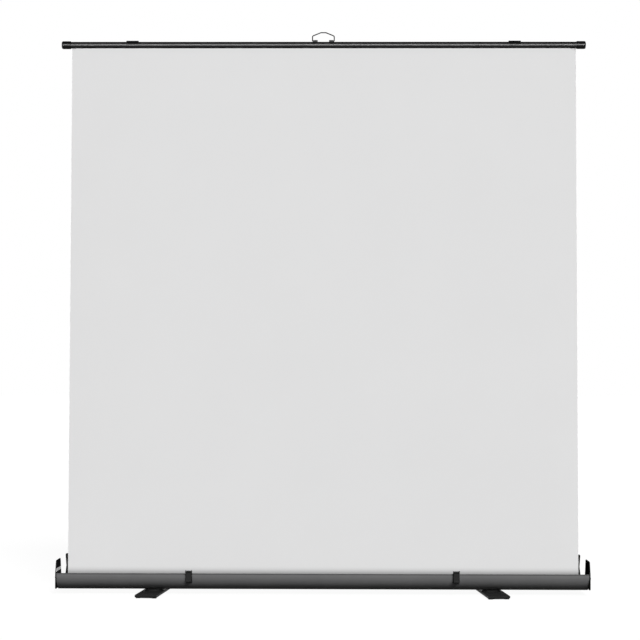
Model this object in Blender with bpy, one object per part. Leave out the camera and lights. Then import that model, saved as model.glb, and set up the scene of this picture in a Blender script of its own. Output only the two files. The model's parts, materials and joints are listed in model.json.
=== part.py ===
"""Pull-up projection screen: a floor box with a spring roller, a cloth screen on a top rail, and two
folding elbow arms behind the cloth that hold the rail up. Metres, +Z up, the front faces -Y."""
import math

import bmesh
import bpy
from mathutils import Vector

# Clearances
GAP = 0.0003            # between pieces that touch
RUN = 0.0004            # radial, round a pin that turns
LAYER_GAP = 0.0020      # between neighbouring arms
CUT_OVER = 0.002        # how far a cutter reaches past the piece
WELD_LAP = 0.002        # how far a joined-on shape reaches into its piece

# Screen cloth and roller
FABRIC_WIDTH = 2.000
FABRIC_THICKNESS = 0.0005
ROLLER_RADIUS = 0.0172
ROLLER_WALL = 0.0015
ROLLER_Y = -0.018
ROLLER_Z = 0.052
SPARE_TURNS = 2             # turns of cloth left on the roller when the screen is up
WIND_GAP = 0.00045          # between the turns
WIND_POINTS = 30            # points in a turn
ROLLER_END_GAP = 0.003      # from the roller's end to the cloth's edge line
ROLL_EDGE_MARGIN = 0.0005
PLUG_DEPTH = 0.030
PLUG_FLANGE = 0.0022
JOURNAL_RADIUS = 0.005
SPINDLE_LENGTH = 0.400
SPINDLE_TONGUE = 0.007
TONGUE_LAP = 0.006
ANCHOR_RADIUS = 0.014
ANCHOR_THICKNESS = 0.012
SPRING_RADIUS = 0.0105
SPRING_WIRE = 0.00125
SPRING_TURNS = 16
SPRING_POINTS = 8

# Top rail
RAIL_HEIGHT = 2.167         # rail axis above the floor with the screen up
RAIL_RADIUS = 0.013
RAIL_WALL = 0.002
RAIL_SLOT = 0.0026
RAIL_OVERHANG = 0.0015      # rail past the cloth's edge
RAIL_CAP_RADIUS = 0.0155
RAIL_CAP_LENGTH = 0.0355
RAIL_CAP_ROUND = 0.005
RAIL_CAP_EDGE = 0.001
RAIL_PLUG_DEPTH = 0.020
BEAD_RADIUS = 0.003

# Floor box
HOUSING_OVERHANG = 0.0395   # box past the cloth's edge
HOUSING_RADIUS = 0.068
HOUSING_WALL = 0.0022
HOUSING_AXIS_Z = 0.085      # also the height of the front lip
SOLE_WIDTH = 0.028
REAR_LIP_DROP = 0.019       # how far the rear lip lies below the front one
LIP_RETURN = 0.006
LIP_ROUND = 0.0012
ARC_STEP_DEG = 4.5          # facets of the box's walls
PORT_RADIUS = 0.0042        # screw ports of the extrusion
PORT_BORE = 0.0021
PORT_INSET = 0.0036
PORT_MOUTH_DEG = 40.0
PORT_ANGLES = {"front": 195.0, "rear": 335.0}
END_PLATE_THICKNESS = 0.004
END_PLATE_OVERHANG = 0.0015
END_PLATE_EDGE = 0.0008
END_PLATE_LIFT = 0.0055     # lower edge above the box's sole
END_PLATE_TOE_ROUND = 0.006
END_PLATE_HEEL_ROUND = 0.020
EAR_RISE = 0.048            # top of the end plate above the front lip
EAR_FRONT_LEAN = 0.0165     # from the lip to the top
EAR_FRONT_ROUND = 0.008
EAR_REAR_Y = 0.050
EAR_REAR_LEAN = 0.018
EAR_REAR_ROUND = 0.005
SCREW_HEAD_RADIUS = 0.0038
SCREW_HEAD = 0.0015
SCREW_SHANK = 0.0016
SCREW_LENGTH = 0.016

# Roller brackets
BRACKET_THICKNESS = 0.0105
BRACKET_CLEAR = 0.0015
BRACKET_TOP = 0.1545
BRACKET_CORNER = 0.006
BRACKET_HEEL_ROUND = 0.010
BRACKET_HUB_RISE = 0.010    # shoulder's front end above the roller's axis
BRACKET_WAIST = 0.0035       # depth of the notch in the outer face
BRACKET_WAIST_Z = 0.110
BRACKET_FRONT_Y = -0.0185   # upper part stays behind the folded rail
BRACKET_REAR_Y = 0.014
BRACKET_SHOULDER_Z = 0.080
BRACKET_FOOT = 0.022
BRACKET_FOOT_THICKNESS = 0.003
BRACKET_SEAT_DEG = 230.0    # front end of the arc on which the bracket stands
BRACKET_SEAT_REAR_Y = 0.008
SOLE_MARGIN_DEG = 1.0       # seat's end short of the flat sole
FOOT_MARGIN_DEG = 1.5       # bracket foot's ends short of the seat's

# Folding arms
ARM_INSET = 0.2825          # pivots in from the box's end
ARM_PIVOT_Z = 0.097
ARM_LENGTH = 1.260
ARM_WIDTH = 0.024
ARM_THICKNESS = 0.008
ARM_EDGE = 0.001
PIN_RADIUS = 0.004
PIN_HEAD_RADIUS = 0.006
PIN_HEAD = 0.0025
WASHER_RADIUS = 0.010
SPACER_RADIUS = 0.0075
ARM_BRACKET_WIDTH = 0.040
ARM_BRACKET_THICKNESS = 0.003
ARM_BRACKET_MARGIN = 0.014
ARM_BRACKET_FOOT_Y = 0.049

# Rail clips and handle
CLIP_WIDTH = 0.047
CLIP_WALL = 0.0040
CLIP_EDGE = 0.001
CLIP_INSET = 0.002          # lug and neck in from the clip's ends
CLIP_FRONT_DEG = 178.0
CLIP_REAR_DEG = 34.0
LUG_OFFSET = 0.018          # from the rail axis back to the clip's lug
LUG_THICKNESS = 0.0035
LUG_DROP = 0.013
LUG_ROUND = 0.008
LUG_LAP = 0.003
LUG_SHY = 0.0001            # lug's rear face in front of the neck's
NECK_LOW = 0.0085
NECK_HIGH = 0.0145
NECK_FRONT = 0.011
NECK_ROUND = 0.002
HANDLE_HALF_WIDTH = 0.0430
HANDLE_WIRE = 0.0021
HANDLE_PIVOT_RISE = 0.0157
HANDLE_SHOULDER = 0.036
HANDLE_TOP = 0.0495
HANDLE_FLAT = 0.010
HANDLE_BEND = 0.006
HANDLE_FOOT_BEND = 0.0022
HANDLE_TIP_INSET = 0.002    # wire's end inside the lug
HANDLE_LUG_INNER = 0.0225
HANDLE_LUG_OUTER = 0.0402
HANDLE_LUG_HALF_DEPTH = 0.008
HANDLE_LUG_TOP = 0.0190
HANDLE_LUG_ROUND = 0.003

# Latches on the front lip
LATCH_INSET = 0.518         # latches in from the box's end
LATCH_WIDTH = 0.026
LATCH_PLATE = 0.0021
LATCH_EAR = 0.002
LATCH_PIVOT_OUT = 0.008
LATCH_PIVOT_RISE = 0.008
LATCH_EAR_RADIUS = 0.0055
LATCH_TAB_RISE = 0.002      # top of the plate above the pin, clear of the closed strap
LATCH_ARC_DEG = 212.0
LATCH_PIN = 0.002
STRAP_WIDTH = 0.0205
STRAP_THICKNESS = 0.0025
STRAP_LENGTH = 0.036
STRAP_KNUCKLE = 0.0042
STRAP_CURL = 0.003
STRAP_EDGE = 0.0005

# Feet
FOOT_INSET = 0.376          # feet in from the box's end
FOOT_HALF_LENGTH = 0.170
FOOT_WIDTH = 0.087
FOOT_THICKNESS = 0.008
FOOT_EDGE = 0.0015
FOOT_TOE_OUT_DEG = 5.7
FOOT_OUTER_ROUND = 0.016
FOOT_INNER_ROUND = 0.006
FOOT_BOSS_RADIUS = 0.036
PAD_HEIGHT = 0.004
PAD_LENGTH = 0.016          # along the foot
PAD_INSET = 0.016           # in from the foot's end
PAD_SIDE_INSET = 0.004
PAD_REST = 0.016            # width of each of its two ends that stand on the floor
PAD_RELIEF = 0.0015
PAD_EDGE = 0.0005
BOLT_RADIUS = 0.005
BOLT_HEAD_RADIUS = 0.009
BOLT_HEAD = 0.0045
BOLT_HEAD_RECESS = 0.0015
NUT_RADIUS = 0.0085
NUT_HEIGHT = 0.008
BOLT_TAIL = 0.002

# Sizes and places worked out from the sizes above
RAIL_LENGTH = FABRIC_WIDTH + 2 * RAIL_OVERHANG
HOUSING_END = FABRIC_WIDTH / 2 + HOUSING_OVERHANG
ARM_PIVOT_X = HOUSING_END - ARM_INSET
LATCH_X = HOUSING_END - LATCH_INSET
FOOT_X = HOUSING_END - FOOT_INSET
WIND_STEP = FABRIC_THICKNESS + WIND_GAP
ROLL_RADIUS = ROLLER_RADIUS + GAP + SPARE_TURNS * WIND_STEP + FABRIC_THICKNESS
FABRIC_Y = ROLLER_Y - ROLL_RADIUS - GAP - FABRIC_THICKNESS / 2
RAIL_Y = FABRIC_Y
RAIL_BORE = RAIL_RADIUS - RAIL_WALL
LUG_FRONT = RAIL_Y + LUG_OFFSET
LUG_REAR = LUG_FRONT + LUG_THICKNESS
LAYER_STEP = ARM_THICKNESS + LAYER_GAP
LAYERS = [LUG_REAR + LAYER_GAP + ARM_THICKNESS / 2 + k * LAYER_STEP for k in range(4)]
UPPER_LEFT_Y, LOWER_LEFT_Y, UPPER_RIGHT_Y, LOWER_RIGHT_Y = LAYERS
ARM_BRACKET_Y = LOWER_RIGHT_Y + ARM_THICKNESS / 2 + LAYER_GAP
ARM_ANGLE = math.asin((RAIL_HEIGHT - ARM_PIVOT_Z) / (2 * ARM_LENGTH))
KNEE_X = ARM_PIVOT_X - ARM_LENGTH * math.cos(ARM_ANGLE)
KNEE_Z = ARM_PIVOT_Z + ARM_LENGTH * math.sin(ARM_ANGLE)
HOUSING_BORE = HOUSING_RADIUS - HOUSING_WALL
SOLE_DEPTH = math.sqrt(HOUSING_RADIUS ** 2 - (SOLE_WIDTH / 2) ** 2)
SOLE_Z = HOUSING_AXIS_Z - SOLE_DEPTH
FLOOR_Z = SOLE_Z + HOUSING_WALL
SOLE_EDGE_DEG = 270.0 - math.degrees(math.acos((SOLE_DEPTH - HOUSING_WALL) / HOUSING_BORE))
BRACKET_INNER_X = FABRIC_WIDTH / 2 + BRACKET_CLEAR
BRACKET_OUTER_X = BRACKET_INNER_X + BRACKET_THICKNESS
ROLLER_END = FABRIC_WIDTH / 2 - ROLLER_END_GAP
ROLLER_BORE = ROLLER_RADIUS - ROLLER_WALL
FOOT_LOW = PAD_HEIGHT + GAP
FOOT_TOP = FOOT_LOW + FOOT_THICKNESS
LATCH_Y = -(HOUSING_RADIUS + LATCH_PIVOT_OUT)
LATCH_Z = HOUSING_AXIS_Z + LATCH_PIVOT_RISE

SIDES = ((-1, "left"), (1, "right"))

# Finishes: colour, roughness, metallic
FINISHES = {
    "black_anodised": ((0.030, 0.030, 0.032), 0.42, 0.6),
    "black_paint": ((0.022, 0.022, 0.023), 0.50, 0.0),
    "black_casting": ((0.022, 0.022, 0.023), 0.55, 0.0),
    "black_plastic": ((0.018, 0.018, 0.019), 0.55, 0.0),
    "dark_steel": ((0.10, 0.10, 0.105), 0.40, 0.9),
    "bright_steel": ((0.55, 0.55, 0.56), 0.32, 1.0),
    "arm_aluminium": ((0.20, 0.20, 0.21), 0.40, 0.9),
    "rubber": ((0.015, 0.015, 0.015), 0.85, 0.0),
    "screen_cloth": ((0.74, 0.74, 0.74), 0.90, 0.0),
}


def clear_scene():
    for item in list(bpy.data.objects):
        bpy.data.objects.remove(item)


def finish_material(name):
    material = bpy.data.materials.get(name)
    if material is None:
        colour, roughness, metallic = FINISHES[name]
        material = bpy.data.materials.new(name)
        material.use_nodes = True
        shader = material.node_tree.nodes["Principled BSDF"]
        shader.inputs["Base Color"].default_value = (*colour, 1.0)
        shader.inputs["Roughness"].default_value = roughness
        shader.inputs["Metallic"].default_value = metallic
    return material


def new_piece(name, mesh, finish):
    bmesh.ops.recalc_face_normals(mesh, faces=mesh.faces)
    data = bpy.data.meshes.new(name)
    mesh.to_mesh(data)
    mesh.free()
    data.shade_smooth()
    data.set_sharp_from_angle(angle=math.radians(32))
    piece = bpy.data.objects.new(name, data)
    bpy.context.collection.objects.link(piece)
    data.materials.append(finish_material(finish))
    return piece


def arc(centre, radius, start_deg, end_deg, steps):
    """Points on a circle, both ends included."""
    points = []
    for k in range(steps + 1):
        turn = math.radians(start_deg + (end_deg - start_deg) * k / steps)
        points.append((centre[0] + radius * math.cos(turn), centre[1] + radius * math.sin(turn)))
    return points


def fine_arc(centre, radius, start_deg, end_deg):
    """Points on a circle in steps small enough for a piece to seat on them."""
    steps = max(1, math.ceil(abs(end_deg - start_deg) / ARC_STEP_DEG))
    return arc(centre, radius, start_deg, end_deg, steps)


def rounded(corners, steps=5):
    """Points of an outline whose corners (a, b, radius) are rounded; a radius of 0 stays sharp."""
    points = []
    for k, (a, b, radius) in enumerate(corners):
        here = Vector((a, b))
        if radius == 0.0:
            points.append((a, b))
            continue
        before = (Vector(corners[k - 1][:2]) - here).normalized()
        after = (Vector(corners[(k + 1) % len(corners)][:2]) - here).normalized()
        half = before.angle(after) / 2
        centre = here + (before + after).normalized() * (radius / math.sin(half))
        start = here + before * (radius / math.tan(half)) - centre
        sign = 1.0 if before.x * after.y - before.y * after.x < 0 else -1.0
        sweep = sign * (math.pi - 2 * half)
        first = math.atan2(start.y, start.x)
        for step in range(steps + 1):
            turn = first + sweep * step / steps
            points.append((centre.x + radius * math.cos(turn), centre.y + radius * math.sin(turn)))
    return points


def along(axis, a, b, t):
    """A point from its place t on the axis and its two coordinates across it."""
    return {"X": (t, a, b), "Y": (a, t, b), "Z": (a, b, t)}[axis]


def add_prism(mesh, outline, axis, start, end, edge=0.0):
    low = [mesh.verts.new(along(axis, a, b, start)) for a, b in outline]
    high = [mesh.verts.new(along(axis, a, b, end)) for a, b in outline]
    caps = [mesh.faces.new(low), mesh.faces.new(high)]
    for k in range(len(low)):
        mesh.faces.new((low[k - 1], low[k], high[k], high[k - 1]))
    if edge > 0.0:
        rims = {rim for cap in caps for rim in cap.edges}
        bmesh.ops.bevel(mesh, geom=list(rims), offset=edge, segments=1, profile=0.5, affect="EDGES")


def prism(name, outline, axis, start, end, finish, edge=0.0):
    """A closed outline pushed along one axis, with its two rims chamfered by edge."""
    mesh = bmesh.new()
    add_prism(mesh, outline, axis, start, end, edge)
    return new_piece(name, mesh, finish)


def strip(name, one_side, other_side, axis, start, end, finish):
    """A thin band between two lines of points, pushed along one axis."""
    mesh = bmesh.new()
    rows = []
    for a_side, b_side in zip(one_side, other_side):
        corners = [(a_side, start), (a_side, end), (b_side, end), (b_side, start)]
        rows.append([mesh.verts.new(along(axis, a, b, t)) for (a, b), t in corners])
    mesh.faces.new(rows[0])
    mesh.faces.new(rows[-1])
    for first, second in zip(rows, rows[1:]):
        for k in range(4):
            mesh.faces.new((first[k - 1], first[k], second[k], second[k - 1]))
    return new_piece(name, mesh, finish)


def add_turned(mesh, profile, axis, centre, segments):
    """A turned body. A profile that starts and ends on the axis is solid, any other is a closed ring."""
    rings = []
    for t, radius in profile:
        count = 1 if radius == 0.0 else segments
        ring = []
        for k in range(count):
            turn = 2 * math.pi * k / segments
            a = centre[0] + radius * math.cos(turn)
            b = centre[1] + radius * math.sin(turn)
            ring.append(mesh.verts.new(along(axis, a, b, t)))
        rings.append(ring)
    solid = profile[0][1] == 0.0
    pairs = list(zip(rings, rings[1:])) if solid else list(zip(rings, rings[1:] + rings[:1]))
    for first, second in pairs:
        for k in range(segments):
            corners = [first[k % len(first)], first[(k + 1) % len(first)],
                       second[(k + 1) % len(second)], second[k % len(second)]]
            mesh.faces.new(list(dict.fromkeys(corners)))


def turned(name, profile, axis, centre, finish, segments=24):
    mesh = bmesh.new()
    add_turned(mesh, profile, axis, centre, segments)
    return new_piece(name, mesh, finish)


def rod(start, end, radius):
    """Profile of a plain round bar."""
    return [(start, 0.0), (start, radius), (end, radius), (end, 0.0)]


def ring(start, end, bore, radius):
    """Profile of a plain tube or washer."""
    return [(start, bore), (start, radius), (end, radius), (end, bore)]


def headed(head_end, head_start, head_radius, tail, radius):
    """Profile of a pin or screw whose head lies at the head_end side."""
    return [(head_end, 0.0), (head_end, head_radius), (head_start, head_radius),
            (head_start, radius), (tail, radius), (tail, 0.0)]


def combine(piece, tool, operation):
    """Boolean of two bodies; the tool is used up."""
    modifier = piece.modifiers.new("combine", "BOOLEAN")
    modifier.operation = operation
    modifier.solver = "EXACT"
    modifier.object = tool
    depsgraph = bpy.context.evaluated_depsgraph_get()
    depsgraph.update()
    result = bpy.data.meshes.new_from_object(piece.evaluated_get(depsgraph))
    piece.modifiers.clear()
    spent = piece.data
    piece.data = result
    bpy.data.meshes.remove(spent)
    result.name = piece.name
    bpy.data.objects.remove(tool)


def drill(piece, axis, centre, radius, start, end, segments=20):
    cutter = turned("cutter", rod(start, end, radius), axis, centre, "dark_steel", segments)
    combine(piece, cutter, "DIFFERENCE")


def tube_curve(name, points, radius, finish, resolution):
    """Round wire or cord along a list of points."""
    curve = bpy.data.curves.new(name, "CURVE")
    curve.dimensions = "3D"
    curve.bevel_depth = radius
    curve.bevel_resolution = resolution
    curve.use_fill_caps = True
    spline = curve.splines.new("POLY")
    spline.points.add(len(points) - 1)
    for slot, place in zip(spline.points, points):
        slot.co = (*place, 1.0)
    curve.materials.append(finish_material(finish))
    piece = bpy.data.objects.new(name, curve)
    bpy.context.collection.objects.link(piece)
    return piece


def pivot(name, place):
    """An empty on a joint's axis."""
    empty = bpy.data.objects.new(name, None)
    empty.location = place
    bpy.context.collection.objects.link(empty)
    return empty


def hang(piece, empty):
    """Let a piece move with the empty on its joint's axis."""
    bpy.context.view_layer.update()
    piece.parent = empty
    piece.matrix_parent_inverse = empty.matrix_world.inverted()


def polar(radius, deg):
    """A point of the floor box's section at a radius and an angle from the box's axis."""
    turn = math.radians(deg)
    return (radius * math.cos(turn), HOUSING_AXIS_Z + radius * math.sin(turn))


AXIS = (0.0, HOUSING_AXIS_Z)


# Floor box
def port_outline(deg):
    """A C-shaped screw port on the inner wall, walked from its rear side to its front side."""
    centre = polar(HOUSING_BORE - PORT_INSET, deg)
    reach = HOUSING_BORE - PORT_INSET
    cosine = (HOUSING_BORE ** 2 - reach ** 2 - PORT_RADIUS ** 2) / (2 * reach * PORT_RADIUS)
    root = math.degrees(math.acos(cosine))
    mouth = 180.0 - PORT_MOUTH_DEG
    outer_in = arc(centre, PORT_RADIUS, deg + root, deg + mouth, 5)
    bore = arc(centre, PORT_BORE, deg + mouth, deg - mouth, 8)
    outer_out = arc(centre, PORT_RADIUS, deg - mouth, deg - root, 5)
    half_width = math.degrees(math.asin(PORT_RADIUS * math.sin(math.radians(root)) / HOUSING_BORE))
    return outer_in + bore + outer_out, half_width


def housing_outline():
    sole_half = math.degrees(math.asin(SOLE_WIDTH / 2 / HOUSING_RADIUS))
    rear_outer = 360.0 - math.degrees(math.asin(REAR_LIP_DROP / HOUSING_RADIUS))
    rear_inner = 360.0 - math.degrees(math.asin(REAR_LIP_DROP / HOUSING_BORE))
    lip_inner = 180.0 + math.degrees(math.asin(HOUSING_WALL / HOUSING_BORE))
    lip_centre = (-HOUSING_RADIUS + LIP_ROUND, HOUSING_AXIS_Z - LIP_ROUND)
    points = arc(lip_centre, LIP_ROUND, 90.0, 180.0, 3)
    first = 180.0 + math.degrees(math.asin(LIP_ROUND / HOUSING_RADIUS))
    points += fine_arc(AXIS, HOUSING_RADIUS, first, 270.0 - sole_half)[1:]
    points += fine_arc(AXIS, HOUSING_RADIUS, 270.0 + sole_half, rear_outer)
    points.append(polar(HOUSING_BORE, rear_inner))
    place = rear_inner
    for deg in sorted(PORT_ANGLES.values(), reverse=True):
        port, half_width = port_outline(deg)
        if deg < 270.0 < place:
            points += fine_arc(AXIS, HOUSING_BORE, place, 540.0 - SOLE_EDGE_DEG)[1:]
            place = SOLE_EDGE_DEG
            points.append(polar(HOUSING_BORE, place))
        points += fine_arc(AXIS, HOUSING_BORE, place, deg + half_width)[1:-1]
        points += port
        place = deg - half_width
    points += fine_arc(AXIS, HOUSING_BORE, place, lip_inner)[1:]
    points.append((-HOUSING_RADIUS + LIP_RETURN, HOUSING_AXIS_Z - HOUSING_WALL))
    points.append((-HOUSING_RADIUS + LIP_RETURN, HOUSING_AXIS_Z))
    return points


def make_housing():
    housing = prism("base_housing", housing_outline(), "X", -HOUSING_END, HOUSING_END, "black_anodised")
    for side in (-1, 1):
        drill(housing, "Z", (side * FOOT_X, 0.0), BOLT_RADIUS + RUN, SOLE_Z - CUT_OVER, FLOOR_Z + CUT_OVER)


def end_plate_outline():
    """A square-set plate as deep as the box, with an ear that narrows above the front lip."""
    half = HOUSING_RADIUS + END_PLATE_OVERHANG
    top = HOUSING_AXIS_Z + EAR_RISE
    low = SOLE_Z + END_PLATE_LIFT
    rear_step = HOUSING_AXIS_Z - REAR_LIP_DROP
    return rounded([
        (EAR_REAR_Y, rear_step, 0.0),
        (EAR_REAR_Y - EAR_REAR_LEAN, top, EAR_REAR_ROUND),
        (EAR_FRONT_LEAN - half, top, EAR_FRONT_ROUND),
        (-half, HOUSING_AXIS_Z, 0.0),
        (-half, low, END_PLATE_TOE_ROUND),
        (half, low, END_PLATE_HEEL_ROUND),
        (half, rear_step, 0.0),
    ])


def make_end_plates():
    inner = HOUSING_END + GAP
    outer = inner + END_PLATE_THICKNESS
    for side, word in SIDES:
        plate = prism(f"end_plate_{word}", end_plate_outline(), "X", side * inner, side * outer,
                      "black_plastic", END_PLATE_EDGE)
        for spot, deg in PORT_ANGLES.items():
            centre = polar(HOUSING_BORE - PORT_INSET, deg)
            drill(plate, "X", centre, SCREW_SHANK + GAP, side * (inner - CUT_OVER),
                  side * (outer + CUT_OVER), 12)
            head = side * (outer + GAP)
            tail = head - side * SCREW_LENGTH
            profile = headed(head + side * SCREW_HEAD, head, SCREW_HEAD_RADIUS, tail, SCREW_SHANK)
            turned(f"end_plate_screw_{word}_{spot}", profile, "X", centre, "dark_steel", 12)


# Roller brackets, roller and screen
def square(half):
    """Outline of the square key at the end of the spring's spindle."""
    return [(ROLLER_Y + a * half, ROLLER_Z + b * half) for a, b in ((-1, -1), (1, -1), (1, 1), (-1, 1))]


def waist_outline(side):
    """Shallow notch in the bracket's outer face: two slopes that meet at the waist."""
    spread = (BRACKET_WAIST + CUT_OVER) / BRACKET_WAIST
    mouth = side * (BRACKET_OUTER_X + CUT_OVER)
    return [
        (side * (BRACKET_OUTER_X - BRACKET_WAIST), BRACKET_WAIST_Z),
        (mouth, BRACKET_WAIST_Z + spread * (BRACKET_TOP - BRACKET_WAIST_Z)),
        (mouth, BRACKET_WAIST_Z - spread * (BRACKET_WAIST_Z - BRACKET_SHOULDER_Z)),
    ]


def make_roller_bracket(side, word):
    bore = HOUSING_BORE - GAP
    seat = fine_arc(AXIS, bore, BRACKET_SEAT_DEG, SOLE_EDGE_DEG - SOLE_MARGIN_DEG)
    front = seat[0][0]
    shoulder = rounded([
        (polar(bore, SOLE_EDGE_DEG)[0], FLOOR_Z + GAP, 0.0),
        (BRACKET_SEAT_REAR_Y, FLOOR_Z + GAP, 0.0),
        (BRACKET_REAR_Y, ROLLER_Z, BRACKET_HEEL_ROUND),
        (BRACKET_REAR_Y, BRACKET_TOP, BRACKET_CORNER),
        (BRACKET_FRONT_Y, BRACKET_TOP, BRACKET_CORNER),
        (BRACKET_FRONT_Y, BRACKET_SHOULDER_Z, BRACKET_CORNER),
        (front, ROLLER_Z + BRACKET_HUB_RISE, BRACKET_CORNER),
    ])
    start = side * BRACKET_INNER_X
    end = side * BRACKET_OUTER_X
    bracket = prism(f"roller_bracket_{word}", seat + shoulder, "X", start, end, "black_plastic")
    combine(bracket, prism("cutter", waist_outline(side), "Y", BRACKET_FRONT_Y - CUT_OVER,
                           BRACKET_REAR_Y + CUT_OVER, "dark_steel"), "DIFFERENCE")
    foot_span = (BRACKET_SEAT_DEG + FOOT_MARGIN_DEG, SOLE_EDGE_DEG - FOOT_MARGIN_DEG)
    foot = fine_arc(AXIS, bore, *foot_span)
    foot += fine_arc(AXIS, bore - BRACKET_FOOT_THICKNESS, *reversed(foot_span))
    foot_start = end - side * BRACKET_THICKNESS / 3
    foot_end = end + side * BRACKET_FOOT
    combine(bracket, prism("foot", foot, "X", foot_start, foot_end, "black_plastic"), "UNION")
    through = (start - side * CUT_OVER, end + side * CUT_OVER)
    if side < 0:
        drill(bracket, "X", (ROLLER_Y, ROLLER_Z), JOURNAL_RADIUS + RUN, *through)
    else:
        half_key = SPINDLE_TONGUE / 2 + GAP
        combine(bracket, prism("cutter", square(half_key), "X", *through, "dark_steel"), "DIFFERENCE")


def least_gap(points, radius, skip):
    """The least gap between two stretches of a wire that are more than skip points apart."""
    places = [Vector(p) for p in points]
    gaps = [(places[i] - places[k]).length for i in range(len(places)) for k in range(i + skip, len(places))]
    return min(gaps) - 2 * radius


def make_spring(start, end):
    tail = 2 * SPRING_WIRE
    length = end - start - 2 * tail
    count = SPRING_TURNS * SPRING_POINTS
    points = [(start, ROLLER_Y + SPRING_RADIUS, ROLLER_Z)]
    for k in range(count + 1):
        turn = 2 * math.pi * k / SPRING_POINTS
        points.append((start + tail + length * k / count, ROLLER_Y + SPRING_RADIUS * math.cos(turn),
                       ROLLER_Z + SPRING_RADIUS * math.sin(turn)))
    points.append((end, ROLLER_Y + SPRING_RADIUS, ROLLER_Z))
    gap = least_gap(points[1:-1], SPRING_WIRE, SPRING_POINTS - 2)
    print(f"roller_spring least gap to itself {gap * 1000:.2f} mm")
    return tube_curve("roller_spring", points, SPRING_WIRE, "bright_steel", 1)


def winding(radius):
    """Points of a spiral that winds in, under the roller, from the cloth's tangent point on the front."""
    points = []
    for k in range(SPARE_TURNS * WIND_POINTS + 1):
        turn = 2 * math.pi * k / WIND_POINTS
        reach = radius - WIND_STEP * k / WIND_POINTS
        points.append((ROLLER_Y - reach * math.cos(turn), ROLLER_Z - reach * math.sin(turn)))
    return points


def make_roll():
    half = FABRIC_WIDTH / 2 - ROLL_EDGE_MARGIN
    outer = winding(ROLL_RADIUS)
    inner = winding(ROLL_RADIUS - FABRIC_THICKNESS)
    middle = [(0.0, a, b) for a, b in winding(ROLL_RADIUS - FABRIC_THICKNESS / 2)]
    gap = least_gap(middle, FABRIC_THICKNESS / 2, WIND_POINTS - 2)
    print(f"screen_roll least gap to itself {gap * 1000:.2f} mm")
    return strip("screen_roll", outer, inner, "X", -half, half, "screen_cloth")


def make_roller():
    axle = (ROLLER_Y, ROLLER_Z)
    spin = pivot("roller_axis", (0.0, *axle))
    tube = turned("roller_tube", ring(-ROLLER_END, ROLLER_END, ROLLER_BORE, ROLLER_RADIUS), "X", axle,
                  "arm_aluminium", 32)
    roll = make_roll()
    flange = ROLLER_END + GAP
    plug_radius = ROLLER_BORE - GAP
    face = flange + PLUG_FLANGE
    journal = BRACKET_OUTER_X - GAP
    plug = [(-ROLLER_END + PLUG_DEPTH, 0.0), (-ROLLER_END + PLUG_DEPTH, plug_radius), (-flange, plug_radius),
            (-flange, ROLLER_RADIUS), (-face, ROLLER_RADIUS), (-face, JOURNAL_RADIUS),
            (-journal, JOURNAL_RADIUS), (-journal, 0.0)]
    idle = turned("roller_idle_plug", plug, "X", axle, "black_plastic", 32)
    bore = JOURNAL_RADIUS + RUN
    inner = ROLLER_END - PLUG_DEPTH
    drive = [(inner, bore), (inner, plug_radius), (flange, plug_radius), (flange, ROLLER_RADIUS),
             (face, ROLLER_RADIUS), (face, bore)]
    spring_plug = turned("roller_spring_plug", drive, "X", axle, "black_plastic", 32)
    for piece in (tube, roll, idle, spring_plug):
        hang(piece, spin)

    spindle_start = BRACKET_INNER_X - SPINDLE_LENGTH
    spindle = turned("spring_spindle", rod(spindle_start, BRACKET_INNER_X - GAP, JOURNAL_RADIUS), "X", axle,
                     "dark_steel", 20)
    tongue = prism("tongue", square(SPINDLE_TONGUE / 2), "X", BRACKET_INNER_X - TONGUE_LAP,
                   BRACKET_OUTER_X - GAP, "dark_steel")
    combine(spindle, tongue, "UNION")
    anchor_end = spindle_start + ANCHOR_THICKNESS
    turned("spring_anchor", ring(spindle_start, anchor_end, JOURNAL_RADIUS + GAP, ANCHOR_RADIUS), "X", axle,
           "black_plastic", 24)
    make_spring(anchor_end + GAP, inner - GAP)


def make_screen():
    top = RAIL_HEIGHT - RAIL_BORE - GAP
    half = FABRIC_WIDTH / 2
    front = FABRIC_Y - FABRIC_THICKNESS / 2
    rear = FABRIC_Y + FABRIC_THICKNESS / 2
    outline = [(-half, ROLLER_Z), (half, ROLLER_Z), (half, top), (-half, top)]
    prism("screen_fabric", outline, "Y", front, rear, "screen_cloth")


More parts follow.
